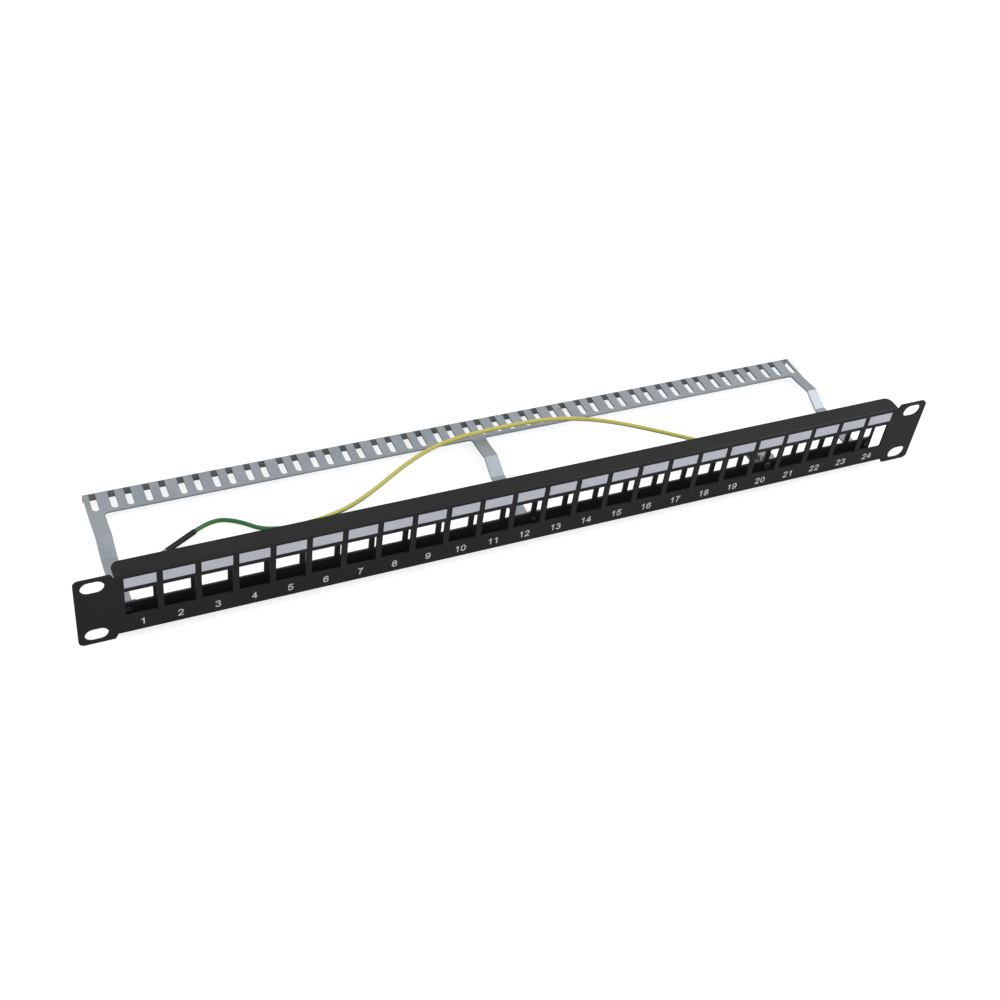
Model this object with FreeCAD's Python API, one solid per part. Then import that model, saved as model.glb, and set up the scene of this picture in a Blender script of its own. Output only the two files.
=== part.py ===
import FreeCAD, Part
import math
import os

V = FreeCAD.Vector

# One 24-port keystone patch panel for a 19 inch rack, in millimetres.
# +X runs along the panel to the right, +Y to the rear, +Z up. The origin is the centre of the
# four rack slots, on the rear face of the ears, where the panel meets the rack rails.

# ---- sheet metal ----
SHEET = 1.2                  # thickness of every folded sheet piece
BEND_OUT = 1.6               # outer bend radius
BEND_IN = 0.4                # inner bend radius

# ---- front panel ----
PANEL_HALF_W = 241.3         # half of the 19 inch front width, 482.6
EAR_HALF_H = 21.6
EAR_CORNER_R = 2.8
EAR_INNER_X = 224.0          # where the ear's full height starts
BODY_HALF_W = 222.2
BODY_HALF_H = 19.7
FLANGE_REAR_Y = 9.4          # rear edge of the top and bottom flanges
FLANGE_CORNER_R = 4.0
RELIEF_X = 222.9             # knee of the sloping bend relief between ear and body
RELIEF_Z = 19.6

RACK_X = 465.1               # rack slot spacing across the panel
RACK_Z = 31.75               # rack slot spacing up the panel
RACK_SLOT_LONG = 11.4
RACK_SLOT_HIGH = 8.0

# ---- ports ----
PORTS = 24
PITCH = 18.314
OPENING_W = 15.3
OPENING_LOW = -7.9
OPENING_HIGH = 8.9

# ---- write-on label fields ----
LABEL_W = 15.2
LABEL_H = 6.1
LABEL_Z = 14.7
LABEL_THICK = 0.2

# ---- rear frame, the inner channel the jacks latch into ----
FRAME_FRONT_Y = 8.45
FRAME_REAR_Y = FRAME_FRONT_Y + SHEET
FRAME_HALF_H = BODY_HALF_H - SHEET
FRAME_FLANGE_Y = 2.4
WINDOW_W = PITCH - 2.85
WINDOW_HALF_H = 9.5

# ---- cable support bar with its three arms ----
BAR_LEFT = -219.4
BAR_RIGHT = 220.0
BAR_TOP = -19.05
BAR_FRONT_Y = 83.0
BAR_REAR_Y = 99.6
LIP_BOTTOM = -23.9
ARMS = [(-219.4, -211.1), (-3.6, 4.4), (213.4, 220.0)]     # left and right side of each arm
ARM_FILLET = 2.0
ARM_TOP_PATH = [(BAR_FRONT_Y + 0.5, BAR_TOP), (78.5, BAR_TOP), (65.0, -17.4), (53.6, -22.9)]
ARM_LOW = -22.9              # top face of the arm's level front part
TAB_TOP = -10.2              # top of the upturned tab that meets the rear frame
SLOT_W = 3.6
SLOT_FRONT_Y = 85.0
SLOT_REAR_Y = BAR_REAR_Y - SHEET
SLOT_OFFSET = 4.98           # each port has one slot this far either side of its centre
SLOT_SHIFT = 0.9             # the whole row of slots sits this far to the right of the ports

# ---- screws that hold the arms ----
ARM_SCREW_Z = -13.9
ARM_SCREW_R = 1.5
ARM_SCREW_LONG = 2.6
ARM_HOLE_R = 1.6
HEAD_R = 2.8
HEAD_H = 1.9
CROSS_W = 0.7
CROSS_LONG = 3.0
CROSS_DEEP = 1.0

# ---- earth point ----
BRACKET_LEFT = 144.0
BRACKET_RIGHT = 157.4
BRACKET_LOW = -18.0
BRACKET_HIGH = -10.6
BRACKET_REAR_Y = 24.0
EARTH_X = 153.76
EARTH_Y = 15.56
EARTH_SCREW_R = 2.0
EARTH_HEAD_R = 3.4
EARTH_HEAD_H = 2.4
EARTH_SCREW_LONG = 5.0
WASHER_R = 3.5
WASHER_H = 0.6
RIVET_X = 148.0
RIVET_Z = -13.4
RIVET_R = 1.6
RIVET_HEAD_R = 2.3
RIVET_HEAD_H = 0.5

# ---- ring lugs, sleeves and earth wire ----
RING_R = 3.6
LUG_HOLE_R = 2.15
LUG_THICK = 0.8
NECK_W = 3.6
BARREL_R = 1.4
BARREL_FROM = 4.4            # from the ring's centre
SLEEVE_FROM = 6.6
SLEEVE_R = 1.5
FIXED_SLEEVE_LONG = 17.5
FREE_SLEEVE_LONG = 20.0
WIRE_R = 1.2
ROUTE = [
    V(134.7, 30.3, -14.9), V(109.1, 50.1, -14.9), V(76.0, 72.6, -14.8), V(48.0, 82.5, -14.85),
    V(18.0, 83.9, -14.85), V(-20.0, 82.0, -15.0), V(-44.0, 75.5, -18.3), V(-80.0, 56.0, -22.6),
    V(-104.0, 49.0, -22.8), V(-133.6, 48.2, -22.6), V(-147.2, 61.1, -22.5),
    V(-159.7, 64.9, -22.2), V(-170.0, 59.1, -22.2)]


def box(x0, x1, y0, y1, z0, z1):
    return Part.makeBox(x1 - x0, y1 - y0, z1 - z0, V(x0, y0, z0))


def rod_y(x, z, r, y0, y1):
    return Part.makeCylinder(r, y1 - y0, V(x, y0, z), V(0, 1, 0))


def rod_z(x, y, r, z0, z1):
    return Part.makeCylinder(r, z1 - z0, V(x, y, z0), V(0, 0, 1))


def prism(points, direction):
    """A straight prism: the closed polygon through points, swept along direction."""
    return Part.Face(Part.makePolygon(points + [points[0]])).extrude(direction)


def join(pieces):
    return pieces[0].multiFuse(pieces[1:]).removeSplitter()


def round_edges(shape, radius, wanted):
    """Fillet every straight edge for which wanted(middle, direction) is true."""
    chosen = []
    for edge in shape.Edges:
        if len(edge.Vertexes) != 2:
            continue
        a = edge.Vertexes[0].Point
        b = edge.Vertexes[1].Point
        run = b.sub(a)
        if run.Length > 0.1 and wanted(a.add(b).multiply(0.5), run.normalize()):
            chosen.append(edge)
    return shape.makeFillet(radius, chosen)


def along_x(direction):
    return abs(direction.x) > 0.999


def along_z(direction):
    return abs(direction.z) > 0.999


def port_x(number):
    return (number - (PORTS + 1) / 2) * PITCH


def channel(half_w, half_h, front, rear, web_front):
    """A folded channel along X. Its web is at the front or at the rear."""
    solid = box(-half_w, half_w, front, rear, -half_h, half_h)
    if web_front:
        hollow = box(-half_w, half_w, front + SHEET, rear, -half_h + SHEET, half_h - SHEET)
        web = front
    else:
        hollow = box(-half_w, half_w, front, rear - SHEET, -half_h + SHEET, half_h - SHEET)
        web = rear
    shape = solid.cut(hollow)
    shape = round_edges(shape, BEND_OUT, lambda m, d: along_x(d) and abs(m.y - web) < 0.01
                        and abs(abs(m.z) - half_h) < 0.01)
    return round_edges(shape, BEND_IN, lambda m, d: along_x(d) and abs(abs(m.y - web) - SHEET) < 0.01
                       and abs(abs(m.z) - half_h + SHEET) < 0.01)


def ear(side):
    """One flat mounting ear with its sloping bend reliefs and two rack slots."""
    half = [(BODY_HALF_W - 1.0, BODY_HALF_H - BEND_OUT), (BODY_HALF_W, BODY_HALF_H - BEND_OUT),
            (RELIEF_X, RELIEF_Z), (EAR_INNER_X, EAR_HALF_H), (PANEL_HALF_W, EAR_HALF_H)]
    outline = [(x, z) for x, z in half] + [(x, -z) for x, z in reversed(half)]
    shape = prism([V(side * x, -SHEET, z) for x, z in outline], V(0, SHEET, 0))
    shape = round_edges(shape, EAR_CORNER_R, lambda m, d: abs(d.y) > 0.999
                        and abs(abs(m.x) - PANEL_HALF_W) < 0.01)
    for up in (-1, 1):
        shape = shape.cut(rack_slot(side * RACK_X / 2, up * RACK_Z / 2))
    return shape


def rack_slot(x, z):
    r = RACK_SLOT_HIGH / 2
    straight = RACK_SLOT_LONG / 2 - r
    ends = [rod_y(x + s * straight, z, r, -2 * SHEET, SHEET) for s in (-1, 1)]
    middle = box(x - straight, x + straight, -2 * SHEET, SHEET, z - r, z + r)
    return ends[0].multiFuse([ends[1], middle])


def make_front_panel():
    shape = channel(BODY_HALF_W, BODY_HALF_H, -SHEET, FLANGE_REAR_Y, True)
    shape = round_edges(shape, FLANGE_CORNER_R, lambda m, d: along_z(d)
                        and abs(m.y - FLANGE_REAR_Y) < 0.01)
    shape = join([shape, ear(-1), ear(1)])
    holes = []
    for number in range(1, PORTS + 1):
        x = port_x(number)
        holes.append(box(x - OPENING_W / 2, x + OPENING_W / 2, -2 * SHEET, SHEET,
                         OPENING_LOW, OPENING_HIGH))
    return shape.cut(Part.makeCompound(holes))


def make_rear_frame():
    shape = channel(BODY_HALF_W, FRAME_HALF_H, FRAME_FLANGE_Y, FRAME_REAR_Y, False)
    web_half = PORTS / 2 * PITCH
    cuts = []
    for side in (-1, 1):
        a, b = sorted((side * web_half, side * (BODY_HALF_W + 1)))
        cuts.append(box(a, b, FRAME_FRONT_Y - 2 * BEND_IN, FRAME_REAR_Y + 1,
                        -FRAME_HALF_H - 1, FRAME_HALF_H + 1))
    for number in range(1, PORTS + 1):
        x = port_x(number)
        cuts.append(box(x - WINDOW_W / 2, x + WINDOW_W / 2, FRAME_FRONT_Y - 1, FRAME_REAR_Y + 1,
                        -WINDOW_HALF_H, WINDOW_HALF_H))
    for x in arm_centres():
        cuts.append(rod_y(x, ARM_SCREW_Z, ARM_SCREW_R, FRAME_FRONT_Y - 1, FRAME_REAR_Y + 1))
    cuts.append(rod_y(RIVET_X, RIVET_Z, RIVET_R, FRAME_FRONT_Y - 1, FRAME_REAR_Y + 1))
    return shape.cut(Part.makeCompound(cuts))


def arm_centres():
    return [(left + right) / 2 for left, right in ARMS]


def make_arm(left, right):
    """One bent strip: level at the bar, up, down, level, then upturned at the rear frame."""
    top = ARM_TOP_PATH + [(FRAME_REAR_Y + SHEET, ARM_LOW), (FRAME_REAR_Y + SHEET, TAB_TOP)]
    low = offset_path(top, SHEET)
    points = [V(left, y, z) for y, z in top + low[::-1]]
    shape = prism(points, V(right - left, 0, 0))
    bends = [V(0, y, z) for y, z in top[1:-1] + low[1:-1]]
    shape = round_edges(shape, BEND_IN, lambda m, d: along_x(d)
                        and any(abs(m.y - p.y) + abs(m.z - p.z) < 0.01 for p in bends))
    middle = (left + right) / 2
    hole = rod_y(middle, ARM_SCREW_Z, ARM_HOLE_R, FRAME_REAR_Y - 1, FRAME_REAR_Y + 2 * SHEET)
    return shape.cut(hole)


def offset_path(path, gap):
    """The same open path moved to its left by gap, as the other face of a bent sheet."""
    sides = []
    for (y0, z0), (y1, z1) in zip(path, path[1:]):
        run = math.hypot(y1 - y0, z1 - z0)
        sides.append((-(z1 - z0) / run, (y1 - y0) / run))
    moved = [(path[0][0] + gap * sides[0][0], path[0][1] + gap * sides[0][1])]
    for (y, z), a, b in zip(path[1:], sides, sides[1:]):
        scale = gap / (1 + a[0] * b[0] + a[1] * b[1])
        moved.append((y + scale * (a[0] + b[0]), z + scale * (a[1] + b[1])))
    moved.append((path[-1][0] + gap * sides[-1][0], path[-1][1] + gap * sides[-1][1]))
    return moved


def make_cable_bar():
    flat = box(BAR_LEFT, BAR_RIGHT, BAR_FRONT_Y, BAR_REAR_Y, BAR_TOP - SHEET, BAR_TOP)
    lip = box(BAR_LEFT, BAR_RIGHT, BAR_REAR_Y - SHEET, BAR_REAR_Y, LIP_BOTTOM, BAR_TOP)
    shape = join([flat, lip] + [make_arm(left, right) for left, right in ARMS])
    shape = round_edges(shape, BEND_OUT, lambda m, d: along_x(d) and abs(m.y - BAR_REAR_Y) < 0.01
                        and abs(m.z - BAR_TOP) < 0.01)
    shape = round_edges(shape, ARM_FILLET, lambda m, d: along_z(d) and abs(m.y - BAR_FRONT_Y) < 0.01
                        and BAR_LEFT + 1 < m.x < BAR_RIGHT - 1)
    holes = []
    for number in range(1, PORTS + 1):
        for side in (-1, 1):
            x = port_x(number) + side * SLOT_OFFSET + SLOT_SHIFT
            nose = SLOT_FRONT_Y + SLOT_W / 2
            holes.append(rod_z(x, nose, SLOT_W / 2, BAR_TOP - 2 * SHEET, BAR_TOP + 1))
            holes.append(box(x - SLOT_W / 2, x + SLOT_W / 2, nose, SLOT_REAR_Y,
                             BAR_TOP - 2 * SHEET, BAR_TOP + 1))
    return shape.cut(Part.makeCompound(holes))


def make_label(number):
    x = port_x(number)
    return box(x - LABEL_W / 2, x + LABEL_W / 2, -SHEET - LABEL_THICK, -SHEET,
               LABEL_Z - LABEL_H / 2, LABEL_Z + LABEL_H / 2)


def cross_slot(centre, normal, side, up):
    """Two crossed bars for a driver recess, sunk against normal at centre."""
    bars = []
    for a, b in ((side, up), (up, side)):
        corner = centre.sub(V(a).multiply(CROSS_LONG / 2)).sub(V(b).multiply(CROSS_W / 2))
        face = [corner, corner.add(V(a).multiply(CROSS_LONG))]
        face.append(face[1].add(V(b).multiply(CROSS_W)))
        face.append(corner.add(V(b).multiply(CROSS_W)))
        bars.append(prism(face, V(normal).multiply(-CROSS_DEEP)))
    return bars[0].fuse(bars[1])


def make_arm_screw(x):
    under = FRAME_REAR_Y + SHEET
    shank = rod_y(x, ARM_SCREW_Z, ARM_SCREW_R, under - ARM_SCREW_LONG, under)
    head = rod_y(x, ARM_SCREW_Z, HEAD_R, under, under + HEAD_H)
    head = head.makeFillet(HEAD_H / 2, [e for e in head.Edges
                                        if e.CenterOfMass.y > under + HEAD_H - 0.01])
    recess = cross_slot(V(x, under + HEAD_H, ARM_SCREW_Z), V(0, 1, 0), V(1, 0, 0), V(0, 0, 1))
    return shank.fuse(head).cut(recess)


def make_earth_bracket():
    foot = box(BRACKET_LEFT, BRACKET_RIGHT, FRAME_REAR_Y, FRAME_REAR_Y + SHEET, BRACKET_LOW, BRACKET_HIGH)
    tongue = box(BRACKET_LEFT, BRACKET_RIGHT, FRAME_REAR_Y, BRACKET_REAR_Y, BRACKET_LOW, BRACKET_LOW + SHEET)
    shape = join([foot, tongue])
    shape = round_edges(shape, BEND_IN, lambda m, d: along_x(d)
                        and abs(m.y - FRAME_REAR_Y - SHEET) < 0.01 and abs(m.z - BRACKET_LOW - SHEET) < 0.01)
    shape = shape.cut(rod_z(EARTH_X, EARTH_Y, EARTH_SCREW_R, BRACKET_LOW - 1, BRACKET_LOW + 2 * SHEET))
    return shape.cut(rod_y(RIVET_X, RIVET_Z, RIVET_R, FRAME_REAR_Y - 1, FRAME_REAR_Y + 2 * SHEET))


def make_earth_rivet():
    rear = FRAME_REAR_Y + SHEET
    shank = rod_y(RIVET_X, RIVET_Z, RIVET_R, FRAME_FRONT_Y, rear)
    heads = [rod_y(RIVET_X, RIVET_Z, RIVET_HEAD_R, FRAME_FRONT_Y - RIVET_HEAD_H, FRAME_FRONT_Y),
             rod_y(RIVET_X, RIVET_Z, RIVET_HEAD_R, rear, rear + RIVET_HEAD_H)]
    heads[0] = heads[0].makeFillet(RIVET_HEAD_H / 2, [e for e in heads[0].Edges
                                   if e.CenterOfMass.y < FRAME_FRONT_Y - RIVET_HEAD_H + 0.01])
    heads[1] = heads[1].makeFillet(RIVET_HEAD_H / 2, [e for e in heads[1].Edges
                                   if e.CenterOfMass.y > rear + RIVET_HEAD_H - 0.01])
    return join([shank] + heads)


def make_washer():
    low = BRACKET_LOW + SHEET + LUG_THICK
    ring = rod_z(EARTH_X, EARTH_Y, WASHER_R, low, low + WASHER_H)
    return ring.cut(rod_z(EARTH_X, EARTH_Y, LUG_HOLE_R, low - 1, low + 1))


def make_earth_screw():
    under = BRACKET_LOW + SHEET + LUG_THICK + WASHER_H
    shank = rod_z(EARTH_X, EARTH_Y, EARTH_SCREW_R, under - EARTH_SCREW_LONG, under)
    head = rod_z(EARTH_X, EARTH_Y, EARTH_HEAD_R, under, under + EARTH_HEAD_H)
    head = head.makeFillet(EARTH_HEAD_H / 2, [e for e in head.Edges
                                              if e.CenterOfMass.z > under + EARTH_HEAD_H - 0.01])
    recess = cross_slot(V(EARTH_X, EARTH_Y, under + EARTH_HEAD_H), V(0, 0, 1), V(1, 0, 0), V(0, 1, 0))
    return shank.fuse(head).cut(recess)


def make_lug(centre, toward, axis_z):
    """A crimp ring lug: flat ring round centre, neck, and a barrel along toward at height axis_z."""
    base = V(centre.x, centre.y, centre.z)
    ring = Part.makeCylinder(RING_R, LUG_THICK, base, V(0, 0, 1))
    across = V(-toward.y, toward.x, 0).multiply(NECK_W / 2)
    start = base.add(V(toward).multiply(LUG_HOLE_R + 0.4))
    end = base.add(V(toward).multiply(SLEEVE_FROM))
    neck = prism([start.sub(across), end.sub(across), end.add(across), start.add(across)],
                 V(0, 0, LUG_THICK))
    barrel_start = base.add(V(toward).multiply(BARREL_FROM))
    barrel_start.z = axis_z
    barrel = Part.makeCylinder(BARREL_R, SLEEVE_FROM - BARREL_FROM, barrel_start, toward)
    shape = join([ring, neck, barrel])
    return shape.cut(Part.makeCylinder(LUG_HOLE_R, 3 * LUG_THICK, base.sub(V(0, 0, LUG_THICK)), V(0, 0, 1)))


def unit(a, b):
    step = b.sub(a)
    return step.normalize()


def make_sleeve(wire_end, away, long):
    """Shrunk sleeve from the wire's end, running along away to the lug's barrel."""
    shape = Part.makeCylinder(SLEEVE_R, long, wire_end, away)
    return shape.makeFillet(0.3, [e for e in shape.Edges if len(e.Vertexes) == 1])


def make_wire():
    """Straight runs joined by tangent arcs, swept with a round section."""
    edges = []
    here = ROUTE[0]
    length = 0.0
    for before, corner, after in zip(ROUTE, ROUTE[1:], ROUTE[2:]):
        come = unit(before, corner)
        go = unit(corner, after)
        turn = come.getAngle(go)
        shorter = min(before.distanceToPoint(corner), corner.distanceToPoint(after))
        setback = 0.45 * shorter
        radius = setback / math.tan(turn / 2)
        print("wire bend radius %.1f mm, turn %.1f degrees" % (radius, math.degrees(turn)))
        first = corner.sub(V(come).multiply(setback))
        last = corner.add(V(go).multiply(setback))
        inward = V(go).sub(come).normalize()
        middle = corner.add(inward.multiply(radius / math.cos(turn / 2) - radius))
        edges.append(Part.makeLine(here, first))
        edges.append(Part.Arc(first, middle, last).toShape())
        length += here.distanceToPoint(first) + radius * turn
        here = last
    edges.append(Part.makeLine(here, ROUTE[-1]))
    length += here.distanceToPoint(ROUTE[-1])
    section = Part.Wire(Part.makeCircle(WIRE_R, ROUTE[0], unit(ROUTE[0], ROUTE[1])))
    shape = Part.Wire(edges).makePipeShell([section], True, False)
    print("wire length %.1f mm, volume %.1f, section x length %.1f"
          % (length, shape.Volume, math.pi * WIRE_R ** 2 * length))
    return shape


os.makedirs("parts", exist_ok=True)

fixed_away = unit(ROUTE[1], ROUTE[0])
free_away = unit(ROUTE[-2], ROUTE[-1])
fixed_ring = ROUTE[0].add(V(fixed_away).multiply(FIXED_SLEEVE_LONG + SLEEVE_FROM))
fixed_ring.z = BRACKET_LOW + SHEET
free_ring = ROUTE[-1].add(V(free_away).multiply(FREE_SLEEVE_LONG + SLEEVE_FROM))
free_axis_z = free_ring.z
free_ring.z = free_axis_z - (ROUTE[0].z - fixed_ring.z)
print("fixed ring centre %.2f %.2f, screw %.2f %.2f" % (fixed_ring.x, fixed_ring.y, EARTH_X, EARTH_Y))

nodes = {
    "front_panel": make_front_panel(),
    "rear_frame": make_rear_frame(),
    "cable_bar": make_cable_bar(),
    "bar_screws": Part.makeCompound([make_arm_screw(x) for x in arm_centres()]),
    "earth_bracket": make_earth_bracket(),
    "earth_rivet": make_earth_rivet(),
    "earth_washer": make_washer(),
    "earth_screw": make_earth_screw(),
    "earth_lug": make_lug(fixed_ring, V(fixed_away).multiply(-1), ROUTE[0].z),
    "earth_sleeve": make_sleeve(ROUTE[0], fixed_away, FIXED_SLEEVE_LONG),
    "earth_wire": make_wire(),
    "free_sleeve": make_sleeve(ROUTE[-1], free_away, FREE_SLEEVE_LONG),
    "free_lug": make_lug(free_ring, V(free_away).multiply(-1), free_axis_z),
}
for number in range(1, PORTS + 1):
    nodes["label_%02d" % number] = make_label(number)

for name, shape in nodes.items():
    shape.exportStep("parts/%s.step" % name)
    extent = shape.BoundBox
    print("%-14s valid %s solids %d volume %.1f  x %.1f..%.1f y %.1f..%.1f z %.1f..%.1f" % (
        name, shape.isValid(), len(shape.Solids), shape.Volume, extent.XMin, extent.XMax,
        extent.YMin, extent.YMax, extent.ZMin, extent.ZMax))
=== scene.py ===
# %% [markdown]
# # A 24-port patch panel for a network rack
#
# A patch panel is the tidy front end of a building's network cables: 24 numbered holes, each of
# which takes one snap-in jack. This one is empty. It has a black folded front, a black inner frame
# that the jacks latch against, a bright slotted bar at the back that the cables are tied to, and a
# short yellow-green earth wire.
#
# The imported CAD model is the frame for everything here. It gives each piece its place and size, and
# the cells below move and resize none of them. They add what a drawing lacks, which is finish,
# print, a softly lying wire, light and a point of view. Colours and light were set one by one.

# %% Load the imported model
import math

import bpy
import numpy as np
from mathutils import Matrix


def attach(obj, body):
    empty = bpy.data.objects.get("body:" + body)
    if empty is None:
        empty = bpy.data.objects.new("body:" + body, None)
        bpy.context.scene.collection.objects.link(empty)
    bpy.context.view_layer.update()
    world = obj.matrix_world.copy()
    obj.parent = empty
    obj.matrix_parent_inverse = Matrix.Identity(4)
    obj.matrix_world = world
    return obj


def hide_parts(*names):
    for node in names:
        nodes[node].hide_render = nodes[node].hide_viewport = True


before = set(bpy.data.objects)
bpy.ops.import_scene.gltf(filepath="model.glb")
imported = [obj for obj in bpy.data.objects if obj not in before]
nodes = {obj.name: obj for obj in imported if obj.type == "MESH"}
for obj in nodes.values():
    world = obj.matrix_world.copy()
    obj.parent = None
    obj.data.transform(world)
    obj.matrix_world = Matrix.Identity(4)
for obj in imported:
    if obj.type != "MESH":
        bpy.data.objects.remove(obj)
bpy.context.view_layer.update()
MM = 0.001
BODY = "panel"

# %% [markdown]
# ## The camera
#
# A product shot of a long thin object is taken from one end and from above, so that the row of
# holes runs away from the viewer and the bar at the back shows over the top edge. The camera could
# be aimed with a Track To constraint, but a constraint hides the real angles. Three turns say the
# same thing plainly: how far round it stands, how far up, and how much it is tipped sideways.

# %% Camera
CAMERA_PLACE = np.array([-0.296496, -0.475783, 0.520915])
CAMERA_ROUND, CAMERA_UP, CAMERA_TIP = -28.693, 41.259, 8.229
CAMERA_LENS = 52.49
CAMERA_SHIFT = (0.0109, -0.0406)


def camera_axes(around, above, tip):
    """Right, up and back directions of the camera.

    back = (sin a cos e, -cos a cos e, sin e). The level right is at right angles to back and to
    the vertical, and the tip turns right and up about back."""
    a, e, t = np.radians([around, above, tip])
    back = np.array([np.sin(a) * np.cos(e), -np.cos(a) * np.cos(e), np.sin(e)])
    level = np.cross([0.0, 0.0, 1.0], back)
    level /= np.linalg.norm(level)
    over = np.cross(back, level)
    right = np.cos(t) * level + np.sin(t) * over
    return right, np.cos(t) * over - np.sin(t) * level, back


camera_data = bpy.data.cameras.new("camera")
camera_data.lens = CAMERA_LENS
camera_data.shift_x, camera_data.shift_y = CAMERA_SHIFT
camera = bpy.data.objects.new("camera", camera_data)
bpy.context.scene.collection.objects.link(camera)
turned = Matrix(np.stack(camera_axes(CAMERA_ROUND, CAMERA_UP, CAMERA_TIP), 1).tolist())
camera.matrix_world = Matrix.Translation(CAMERA_PLACE.tolist()) @ turned.to_4x4()
bpy.context.scene.camera = camera
camera_distance = float(np.linalg.norm(CAMERA_PLACE))
print("camera stands", round(camera_distance, 3), "m from the middle of the face")

# %% [markdown]
# ## Pieces from whole arrays
#
# Every new piece is a grid of points worked out at once with numpy and handed to Blender in one
# go. A grid that closes on itself in one direction is a tube, which is all that a wire and a
# shrunk sleeve are. Two fans of triangles close its ends.


# %% Grid helpers
def link_piece(name, mesh):
    """Put a finished mesh in the scene as one piece that belongs to the panel's body."""
    piece = bpy.data.objects.new(name, mesh)
    bpy.context.scene.collection.objects.link(piece)
    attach(piece, BODY)
    return piece


def tube_faces(rings, sides, closed=False):
    """Quads between neighbouring rings, then a fan on each end.

    Point (i, j) has index i * sides + j, and the two end centres come last. A closed tube joins
    its last ring to its first and has no ends."""
    i, j = np.meshgrid(np.arange(rings if closed else rings - 1), np.arange(sides), indexing="ij")
    k, n = (j + 1) % sides, (i + 1) % rings
    quads = np.stack([i * sides + j, i * sides + k, n * sides + k, n * sides + j], -1)
    quads = quads.reshape(-1, 4).tolist()
    if closed:
        return quads
    around = np.arange(sides)
    onward = (around + 1) % sides
    first, last = rings * sides, rings * sides + 1
    start = np.stack([np.full(sides, first), onward, around], -1)
    tail = (rings - 1) * sides
    end = np.stack([np.full(sides, last), tail + around, tail + onward], -1)
    return quads + start.tolist() + end.tolist()


def tube_mesh(name, path, radii, sides):
    """A tube round a path: point(i, t) = path(i) + radius(i) (cos t over(i) + sin t side(i)).

    side is level and at right angles to the path, and over is at right angles to both, so t = 0
    is the top of the tube all the way along."""
    ahead = np.gradient(path, axis=0)
    ahead /= np.linalg.norm(ahead, axis=1, keepdims=True)
    side = np.cross(ahead, [0.0, 0.0, 1.0])
    side /= np.linalg.norm(side, axis=1, keepdims=True)
    over = np.cross(side, ahead)
    t = np.linspace(0, 2 * np.pi, sides, endpoint=False)
    ring = np.cos(t)[None, :, None] * over[:, None] + np.sin(t)[None, :, None] * side[:, None]
    points = path[:, None] + np.asarray(radii)[:, None, None] * ring
    points = np.concatenate([points.reshape(-1, 3), path[:1], path[-1:]])
    mesh = bpy.data.meshes.new(name)
    mesh.from_pydata(points.tolist(), [], tube_faces(len(path), sides))
    mesh.polygons.foreach_set("use_smooth", np.ones(len(mesh.polygons), bool))
    return mesh


# %% [markdown]
# ## The earth wire
#
# The wire is the one soft piece. It is screwed down behind the panel at its right end, climbs over
# the bar in a low hump, comes down again and lies on the table at its left, where its second lug
# waits for the rack's earth stud. It could be simulated as a rope, but a wire this stiff keeps the
# set that it was packed with, so its line is drawn: a few points guide one smooth NURBS curve, and
# the round cover is carried along that curve. The height of the hump is a choice: it clears the
# bar by 3 mm.

# %% Line of the wire
WIRE_GUIDES = np.array([
    (134.7, 30.3, -14.9), (109.1, 50.1, -14.9), (76.0, 72.6, -14.8), (48.0, 82.5, -14.85),
    (18.0, 83.9, -14.85), (-20.0, 82.0, -15.0), (-44.0, 75.5, -18.3), (-80.0, 56.0, -22.6),
    (-104.0, 49.0, -22.8), (-133.6, 48.2, -22.6), (-147.2, 61.1, -22.5),
    (-159.7, 64.9, -22.2), (-170.0, 59.1, -22.2)]) * MM
WIRE_DIAMETER = 2.4 * MM


def smooth_line(name, guides, steps):
    """The points of a NURBS curve of order 3 that is pulled towards the guides."""
    curve = bpy.data.curves.new(name, "CURVE")
    curve.dimensions = "3D"
    curve.resolution_u = steps
    spline = curve.splines.new("NURBS")
    spline.points.add(len(guides) - 1)
    spline.points.foreach_set("co", np.c_[guides, np.ones(len(guides))].ravel())
    spline.order_u = 3
    spline.use_endpoint_u = True
    holder = bpy.data.objects.new(name, curve)
    line = bpy.data.meshes.new_from_object(holder)
    points = np.empty(len(line.vertices) * 3)
    line.vertices.foreach_get("co", points)
    bpy.data.objects.remove(holder)
    bpy.data.meshes.remove(line)
    return points.reshape(-1, 3)


wire_line = smooth_line("wire_line", WIRE_GUIDES, 14)
wire_steps = np.linalg.norm(np.diff(wire_line, axis=0), axis=1)
wire_along = np.r_[0.0, np.cumsum(wire_steps)]
print("wire:", len(wire_line), "points,", round(wire_along[-1] / MM, 1), "mm long")

# %% [markdown]
# The cover has two colours, in two stripes that run the whole length. The wire twists a little as
# it is laid, so the stripes wander from the top to the side. The tube gets a UV map for that: U is
# the distance along the wire, and V goes once round it, turned by the twist.

# %% Tube of the wire
WIRE_SIDES = 28
TWIST_AT = np.array([0, 60, 110, 170, 215, 250, 290, 332]) * MM
TWIST_TURNS = np.array([0.04, 0.02, 0.0, 0.0, 0.02, 0.12, 0.40, 0.46])


def stripe_map(mesh, along, twist, sides):
    """UV of corner (i, j): U = distance(i) / wire length, V = j / sides - twist(i).

    A face that closes the ring has its far corners at j = sides and not at 0."""
    corners = np.empty(len(mesh.loops), int)
    mesh.loops.foreach_get("vertex_index", corners)
    rings = len(along)
    uv = np.zeros((len(corners), 2))
    tubular = 4 * (rings - 1) * sides
    grid = corners[:tubular].reshape(-1, 4)
    i, j = grid // sides, grid % sides
    wraps = (j.max(1) - j.min(1) > 1)[:, None] & (j == 0)
    v = (j + sides * wraps) / sides - twist[i]
    uv[:tubular] = np.stack([along[i] / along[-1], v], -1).reshape(-1, 2)
    layer = mesh.uv_layers.new(name="stripe")
    layer.data.foreach_set("uv", uv.ravel())


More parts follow.
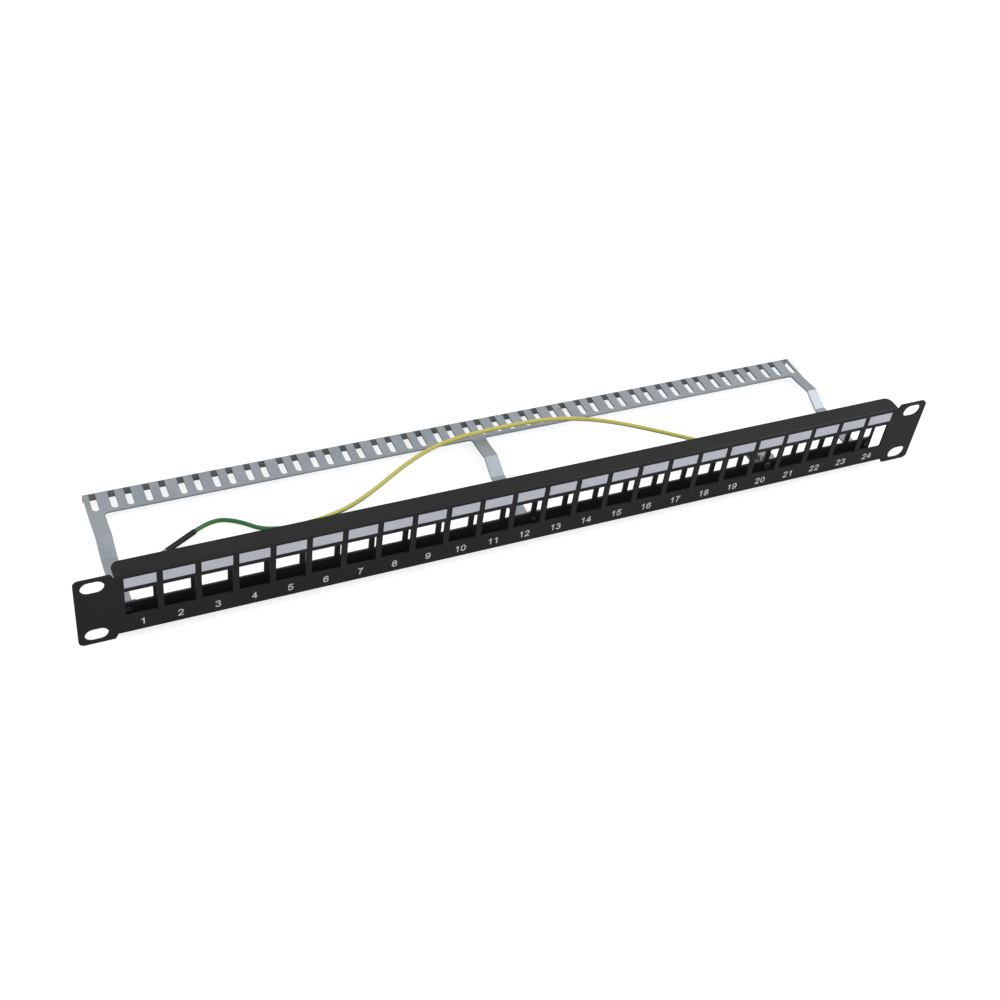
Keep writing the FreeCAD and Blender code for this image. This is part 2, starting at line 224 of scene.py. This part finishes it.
wire_radii = np.full(len(wire_line), WIRE_DIAMETER / 2)
wire_mesh = tube_mesh("yellow_green_wire", wire_line, wire_radii, WIRE_SIDES)
wire_twist = np.interp(wire_along, TWIST_AT, TWIST_TURNS)
stripe_map(wire_mesh, wire_along, wire_twist, WIRE_SIDES)
wire = link_piece("yellow_green_wire", wire_mesh)
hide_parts("earth_wire")
print("wire tube:", len(wire_mesh.polygons), "faces")

# %% [markdown]
# ## Shader arithmetic
#
# A node material is a small sum: some noise, scaled and mixed, ends up as a colour, a roughness or
# a bump. Written as nodes and links it is long and hard to read, so one class wraps a socket and
# lets Python's own signs add the Math nodes, and another wraps the material's node tree.


# %% Sockets with arithmetic
class Value:
    """A node's output. The signs + - * build Math nodes."""

    def __init__(self, finish, socket):
        self.finish = finish
        self.socket = socket

    def maths(self, operation, first, second=0.0):
        return self.finish.node("ShaderNodeMath", {"operation": operation}, {0: first, 1: second})

    def __add__(self, other):
        return self.maths("ADD", self, other)

    def __sub__(self, other):
        return self.maths("SUBTRACT", self, other)

    def __mul__(self, other):
        return self.maths("MULTIPLY", self, other)

    __radd__ = __add__
    __rmul__ = __mul__

    def ramp(self, low, high):
        """0 below low, 1 above high, smooth between."""
        settings = {"interpolation_type": "SMOOTHSTEP"}
        return self.finish.node("ShaderNodeMapRange", settings,
                                {"Value": self, "From Min": low, "From Max": high})


class Finish:
    """One material: a Principled shader and whatever feeds it."""

    def __init__(self, name):
        self.material = bpy.data.materials.new(name)
        self.material.use_nodes = True
        self.tree = self.material.node_tree
        self.tree.nodes.clear()

    def node(self, kind, settings=None, sockets=None, output=0):
        """Add a node: its settings first, then the numbers or links of its sockets."""
        made = self.tree.nodes.new(kind)
        for key, value in (settings or {}).items():
            setattr(made, key, value)
        for key, value in (sockets or {}).items():
            if isinstance(value, Value):
                self.tree.links.new(value.socket, made.inputs[key])
            else:
                made.inputs[key].default_value = value
        return Value(self, made.outputs[output])

    def place(self, stretch=(1, 1, 1)):
        """Position on the piece in metres, stretched for a grain that runs one way."""
        here = self.node("ShaderNodeTexCoord", output="Object")
        return self.node("ShaderNodeMapping", {}, {"Vector": here, "Scale": stretch})

    def noise(self, where, per_metre, detail=2.0, roughness=0.5):
        sockets = {"Vector": where, "Scale": per_metre, "Detail": detail, "Roughness": roughness}
        return self.node("ShaderNodeTexNoise", {}, sockets)

    def blend(self, factor, low, high):
        """A colour from low to high as factor goes from 0 to 1."""
        made = self.tree.nodes.new("ShaderNodeMix")
        made.data_type = "RGBA"
        for key, value in ((0, factor), (6, low), (7, high)):
            if isinstance(value, Value):
                self.tree.links.new(value.socket, made.inputs[key])
            else:
                made.inputs[key].default_value = value
        return Value(self, made.outputs[2])

    def bump(self, height, distance, strength=1.0):
        sockets = {"Height": height, "Distance": distance, "Strength": strength}
        return self.node("ShaderNodeBump", {}, sockets)

    def done(self, **sockets):
        """Feed the shader, join it to the output and hand back the material."""
        named = {key.replace("_", " "): value for key, value in sockets.items()}
        shader = self.node("ShaderNodeBsdfPrincipled", {}, named, "BSDF")
        output = self.tree.nodes.new("ShaderNodeOutputMaterial")
        self.tree.links.new(shader.socket, output.inputs["Surface"])
        return self.material


def grey(level, tint=(1.0, 1.0, 1.0)):
    return (level * tint[0], level * tint[1], level * tint[2], 1.0)


def dress(names, material):
    """Give CAD pieces their finish by filling every material slot."""
    for name in names:
        for place in nodes[name].material_slots:
            place.material = material


# %% [markdown]
# ## Black powder coat
#
# The front and the inner frame are dipped in dry powder and baked. The film flows, but not quite
# flat: it has a fine orange peel and, under a lamp, a soft broken sheen. Two sizes of noise make
# the bump, a slow one lets the sheen drift, and the colour hardly changes at all. The inner frame
# has the same black coat, but its colour is set paler as painted light, which brightens the
# shaded inside of the holes.

# %% Black powder coat
def powder_coat(name, dark, light):
    """dark and light are the two ends of the drift in the film's colour; for the inner frame both are
    raised as painted light that brightens the shaded holes.
    """
    coat = Finish(name)
    here = coat.place()
    peel = coat.noise(here, 900.0, 2.0)
    grain = coat.noise(here, 3200.0, 1.0)
    drift = coat.noise(here, 22.0, 3.0)
    film = coat.blend(drift.ramp(0.3, 0.7), grey(dark), grey(light, (1.04, 1.0, 0.96)))
    normal = coat.bump(peel + 0.35 * grain, 0.00006)
    return coat.done(Base_Color=film, Roughness=0.36 + 0.10 * drift + 0.08 * grain,
                     Specular_IOR_Level=0.38, Normal=normal)


dress(["front_panel"], powder_coat("black_powder_coat", 0.013, 0.018))
# The inner frame's paler colour is painted light: the same black coat, lightened for the shade inside
# the holes.
dress(["rear_frame"], powder_coat("paler_coat_painted_light", 0.038, 0.048))
print("black powder coat on the front, a thinner one on the inner frame")

# %% [markdown]
# ## White label fields
#
# Over each hole is a strip for a pen. It is a thin white print with a matt, slightly toothy
# surface, a little cooler than paper.

# %% White label fields
def label_print():
    ink = Finish("white_label_print")
    here = ink.place()
    tooth = ink.noise(here, 2600.0, 2.0)
    cloud = ink.noise(here, 120.0, 2.0)
    low, high = grey(0.84, (0.97, 0.97, 1.06)), grey(0.90, (0.98, 0.98, 1.05))
    white = ink.blend(cloud.ramp(0.25, 0.75), low, high)
    return ink.done(Base_Color=white, Roughness=0.52 + 0.12 * tooth,
                    Normal=ink.bump(tooth, 0.00001))


LABELS = sorted(name for name in nodes if name.startswith("label_"))
dress(LABELS, label_print())
print("label fields:", len(LABELS))

# %% [markdown]
# ## Zinc plate
#
# The bar, its arms and the small bracket are bright zinc over cold-rolled steel. The rolling
# leaves a grain of long fine lines along the bar, and the plating bath leaves cloudy patches that
# lean to blue. Zinc is a metal, so its colour is the colour of what it reflects.

# %% Zinc plate
def zinc_plate():
    zinc = Finish("zinc_plate")
    here = zinc.place()
    lines = zinc.noise(zinc.place((60, 3500, 3500)), 1.0, 3.0)
    cloud = zinc.noise(here, 45.0, 3.0, 0.6)
    speck = zinc.noise(here, 1500.0, 2.0)
    low, high = grey(0.58, (0.92, 1.0, 1.05)), grey(0.68, (0.95, 1.0, 1.03))
    cool = zinc.blend(cloud.ramp(0.3, 0.7), low, high)
    tone = zinc.blend(0.5 * lines, cool, grey(0.42, (0.93, 1.0, 1.04)))
    normal = zinc.bump(lines + 0.3 * speck, 0.00002, 0.6)
    return zinc.done(Base_Color=tone, Metallic=0.9, Roughness=0.34 + 0.14 * cloud + 0.06 * speck,
                     Normal=normal)


ZINC = ["cable_bar", "earth_bracket", "bar_screws", "earth_screw", "earth_washer", "earth_rivet"]
dress(ZINC, zinc_plate())
print("zinc plate on", ", ".join(ZINC))

# %% [markdown]
# ## Lugs and sleeves
#
# A ring lug is stamped from copper and tinned, softer and whiter than zinc. Its barrel is crimped
# on the wire under a black sleeve that was shrunk with hot air, and that shows the swelling of the
# barrel inside it.

# %% Tinned copper
def tinned_copper():
    tin = Finish("tinned_copper")
    here = tin.place()
    dull = tin.noise(here, 700.0, 3.0)
    tone = tin.blend(dull, grey(0.62, (1.0, 0.99, 0.95)), grey(0.48, (1.0, 0.98, 0.94)))
    return tin.done(Base_Color=tone, Metallic=1.0, Roughness=0.22 + 0.2 * dull,
                    Normal=tin.bump(dull, 0.00002))


dress(["earth_lug", "free_lug"], tinned_copper())


# %% Black shrunk sleeve
def shrunk_sleeve():
    rubber = Finish("black_shrunk_sleeve")
    here = rubber.place()
    skin = rubber.noise(here, 1400.0, 2.0)
    tone = rubber.blend(skin, grey(0.004), grey(0.009))
    return rubber.done(Base_Color=tone, Roughness=0.38 + 0.15 * skin,
                       Normal=rubber.bump(skin, 0.00003))


dress(["earth_sleeve", "free_sleeve"], shrunk_sleeve())

# %% [markdown]
# ## Yellow and green cover
#
# The wire's cover is soft PVC, pushed out in two colours at once, so the edge between them is
# sharp but never perfectly straight. The stripe follows the UV map of the tube.


# %% Wire cover
def wire_cover():
    cover = Finish("yellow_green_cover")
    stripe = cover.node("ShaderNodeUVMap", {"uv_map": "stripe"})
    v = cover.node("ShaderNodeSeparateXYZ", {}, {0: stripe}, "Y")
    here = cover.place()
    wander = cover.noise(here, 160.0, 1.0)
    turn = v + 0.03 * (wander - 0.5)
    wave = cover.node("ShaderNodeMath", {"operation": "COSINE"}, {0: 2 * math.pi * turn})
    yellow_part = wave.ramp(-0.34, -0.22)
    skin = cover.noise(here, 900.0, 2.0)
    yellow = cover.blend(skin, (0.86, 0.76, 0.15, 1.0), (0.92, 0.82, 0.18, 1.0))
    green = cover.blend(skin, (0.040, 0.23, 0.060, 1.0), (0.055, 0.29, 0.08, 1.0))
    striped = cover.blend(yellow_part, green, yellow)
    return cover.done(Base_Color=striped, Roughness=0.30 + 0.1 * skin,
                      Normal=cover.bump(skin, 0.00002))


wire_mesh.materials.append(wire_cover())
print("wire cover on", wire.name)

# %% [markdown]
# ## Port numbers
#
# The numbers are screen print, a few hundredths of a millimetre thick. A Text object would do, but
# its built-in letters are not those of an engraver's or printer's stencil. Ten digits are few, so
# each is drawn as its pen strokes: arcs of an ellipse and straight lines, carried by a flat strip
# with rounded ends. Strokes that cross differ by two thousandths of a millimetre in height, so
# that no two faces lie in one plane.

# %% Pen strokes of the digits
DIGIT_HALF_W = 1.13
DIGIT_HALF_H = 1.88
PEN = 0.66


def arc(x, z, wide, high, start, stop):
    """Points on an ellipse round (x, z) from the angle start to stop, in degrees."""
    turn = np.radians(np.linspace(start, stop, max(8, int(abs(stop - start) / 12))))
    return np.stack([x + wide * np.cos(turn), z + high * np.sin(turn)], 1)


def line(x0, z0, x1, z1):
    return np.array([(x0, z0), (x1, z1)])


W, H = DIGIT_HALF_W, DIGIT_HALF_H
STROKES = {
    "0": [arc(0, 0, W, H, 0, 360)],
    "1": [line(0.42, -H, 0.42, H), line(0.42, H, -0.55, 1.02)],
    "2": [arc(0, 0.82, 1.06, 1.06, 168, -38), line(0.83, 0.16, -W, -H), line(-W, -H, W, -H)],
    "3": [arc(-0.05, 0.97, 0.97, 0.91, 165, -90), arc(-0.05, -0.91, W, 0.97, 90, -165)],
    "4": [line(0.45, H, -1.2, -0.85), line(-1.2, -0.85, 1.2, -0.85), line(0.45, H, 0.45, -H)],
    "5": [line(0.98, H, -0.72, H), line(-0.72, H, -1.0, 0.02),
          arc(-0.05, -0.66, W, 1.22, 146, -160)],
    "6": [arc(0.03, -0.72, 1.08, 1.16, 0, 360), arc(0.12, 0, 1.19, H, 38, 196)],
    "7": [line(-W, H, W, H), arc(2.6, -H, 2.95, 4.38, 120.6, 180)],
    "8": [arc(0, 0.96, 0.93, 0.92, 0, 360), arc(0, -0.9, W, 0.98, 0, 360)],
    "9": [arc(-0.03, 0.72, 1.08, 1.16, 0, 360), arc(-0.12, 0, 1.19, H, 218, 376)],
}
print("digits drawn with", sum(len(strokes) for strokes in STROKES.values()), "strokes")

# %% Port numbers
PORTS = 24
PITCH = 18.314 * MM
NUMBER_Z = -13.35 * MM
DIGIT_STEP = 3.45
FACE_Y = -1.2 * MM
PRINT_THICK = 0.03
PRINT_STEP = 0.002
CAP_TURNS = np.radians([84, 60, 40, 20])


def pen_strip(path, thick):
    """A flat strip round a path in the XZ plane: its edges are path +- half(i) normal(i).

    An open path is lengthened at each end by a quarter turn, where half = pen cos(a) at the
    distance pen sin(a), which rounds the end."""
    pen = PEN / 2
    closed = len(path) > 2 and np.linalg.norm(path[0] - path[-1]) < 1e-6
    if closed:
        path = path[:-1]
        ahead = np.roll(path, -1, 0) - np.roll(path, 1, 0)
        half = np.full(len(path), pen)
    else:
        cap = len(CAP_TURNS)
        first, last = path[0] - path[1], path[-1] - path[-2]
        first, last = first / np.linalg.norm(first), last / np.linalg.norm(last)
        reach = pen * np.sin(CAP_TURNS)[:, None]
        ahead = np.gradient(path, axis=0)
        ahead = np.concatenate([np.tile(-first, (cap, 1)), ahead, np.tile(last, (cap, 1))])
        path = np.concatenate([path[0] + reach * first, path, path[-1] + reach[::-1] * last])
        half = np.full(len(path), pen)
        half[:cap], half[-cap:] = pen * np.cos(CAP_TURNS), pen * np.cos(CAP_TURNS[::-1])
    ahead = ahead / np.linalg.norm(ahead, axis=1, keepdims=True)
    normal = np.stack([-ahead[:, 1], ahead[:, 0]], 1) * half[:, None]
    left, right = path + normal, path - normal
    front, back = np.full(len(path), -thick), np.zeros(len(path))
    ring = np.stack([np.c_[left[:, 0], front, left[:, 1]], np.c_[right[:, 0], front, right[:, 1]],
                     np.c_[right[:, 0], back, right[:, 1]], np.c_[left[:, 0], back, left[:, 1]]], 1)
    points = ring.reshape(-1, 3)
    if not closed:
        points = np.concatenate([points, ring[:1].mean(1), ring[-1:].mean(1)])
    return points, tube_faces(len(path), 4, closed)


def number_strips(number):
    """The strips of one number in metres, its ink centred on the middle of its port."""
    digits = str(number)
    strips = []
    for place, digit in enumerate(digits):
        for path in STROKES[digit]:
            moved = path + [(place - (len(digits) - 1) / 2) * DIGIT_STEP, 0.0]
            strips.append(pen_strip(moved, PRINT_THICK + PRINT_STEP * len(strips)))
    ink = np.concatenate([points for points, _ in strips])
    middle = (ink[:, 0].min() + ink[:, 0].max()) / 2
    shift = np.array([(number - (PORTS + 1) / 2) * PITCH - middle * MM, FACE_Y, NUMBER_Z])
    return [(points * MM + shift, faces) for points, faces in strips]


def joined(name, parts):
    """One mesh from several: points and faces end to end, each face's numbers moved on."""
    points, faces, start = [], [], 0
    for some_points, some_faces in parts:
        points.append(some_points)
        faces += [[start + v for v in face] for face in some_faces]
        start += len(some_points)
    mesh = bpy.data.meshes.new(name)
    mesh.from_pydata(np.concatenate(points).tolist(), [], faces)
    return mesh


def number_print():
    ink = Finish("white_number_print")
    tooth = ink.noise(ink.place(), 2600.0, 2.0)
    white = ink.blend(tooth, grey(0.84), grey(0.94))
    return ink.done(Base_Color=white, Roughness=0.5 + 0.1 * tooth)


all_strips = [strip for n in range(PORTS) for strip in number_strips(n + 1)]
numbers_mesh = joined("port_numbers", all_strips)
numbers_mesh.materials.append(number_print())
numbers = link_piece("port_numbers", numbers_mesh)
print("numbers:", len(numbers_mesh.polygons), "faces")

# %% [markdown]
# ## Table and light
#
# Dark paint and bright zinc are both mirrors of the room, so the light matters more than the
# colours. A pale even room keeps the zinc light, and one soft lamp at the right, in front and
# above brightens the sloping parts of the arms. The table glows for the camera only, so it shows
# as a bare white ground and lights nothing.

# %% Table
TABLE_Z = -24.1 * MM
TABLE_REACH = 3.0
TABLE_GLOW = 0.75


def table_top():
    cloth = Finish("pale_table")
    soft = cloth.noise(cloth.place(), 8.0, 2.0)
    seen = cloth.node("ShaderNodeLightPath", output="Is Camera Ray")
    glow = cloth.blend(seen, grey(0.0), grey(1.0))
    return cloth.done(Base_Color=cloth.blend(soft, grey(0.60), grey(0.62)), Roughness=0.8,
                      Emission_Color=glow, Emission_Strength=TABLE_GLOW)


table_mesh = bpy.data.meshes.new("table")
corners = [(-1, -1), (1, -1), (1, 1), (-1, 1)]
table_mesh.from_pydata([(x * TABLE_REACH, y * TABLE_REACH, TABLE_Z) for x, y in corners], [],
                       [(0, 1, 2, 3)])
table_mesh.materials.append(table_top())
table = bpy.data.objects.new("table", table_mesh)
bpy.context.scene.collection.objects.link(table)


# %% Lamp and room
LAMP_PLACE, LAMP_AIM = (1.05, -0.30, 1.05), (0.1, 0.05, 0.0)
LAMP_SIZE = 1.1
LAMP_WATTS = 6.0
LAMP_COLOUR = (0.90, 0.94, 1.0)
ROOM_COLOUR = (0.95, 0.97, 1.0, 1.0)
ROOM_STRENGTH = 0.58


def soft_lamp(name, place, aim, size, watts, colour):
    """A square area lamp at place that faces aim."""
    lamp = bpy.data.lights.new(name, "AREA")
    lamp.size = size
    lamp.energy = watts
    lamp.color = colour
    holder = bpy.data.objects.new(name, lamp)
    bpy.context.scene.collection.objects.link(holder)
    back = np.array(place) - np.array(aim)
    back /= np.linalg.norm(back)
    side = np.cross([0.0, 1.0, 0.0], back)
    side /= np.linalg.norm(side)
    turn = Matrix(np.stack([side, np.cross(back, side), back], 1).tolist())
    holder.matrix_world = Matrix.Translation(place) @ turn.to_4x4()


soft_lamp("right_lamp", LAMP_PLACE, LAMP_AIM, LAMP_SIZE, LAMP_WATTS, LAMP_COLOUR)

room = bpy.data.worlds.new("pale_room")
room.use_nodes = True
backdrop = room.node_tree.nodes["Background"]
backdrop.inputs["Color"].default_value = ROOM_COLOUR
backdrop.inputs["Strength"].default_value = ROOM_STRENGTH
bpy.context.scene.world = room
bpy.context.scene.view_settings.view_transform = "Standard"
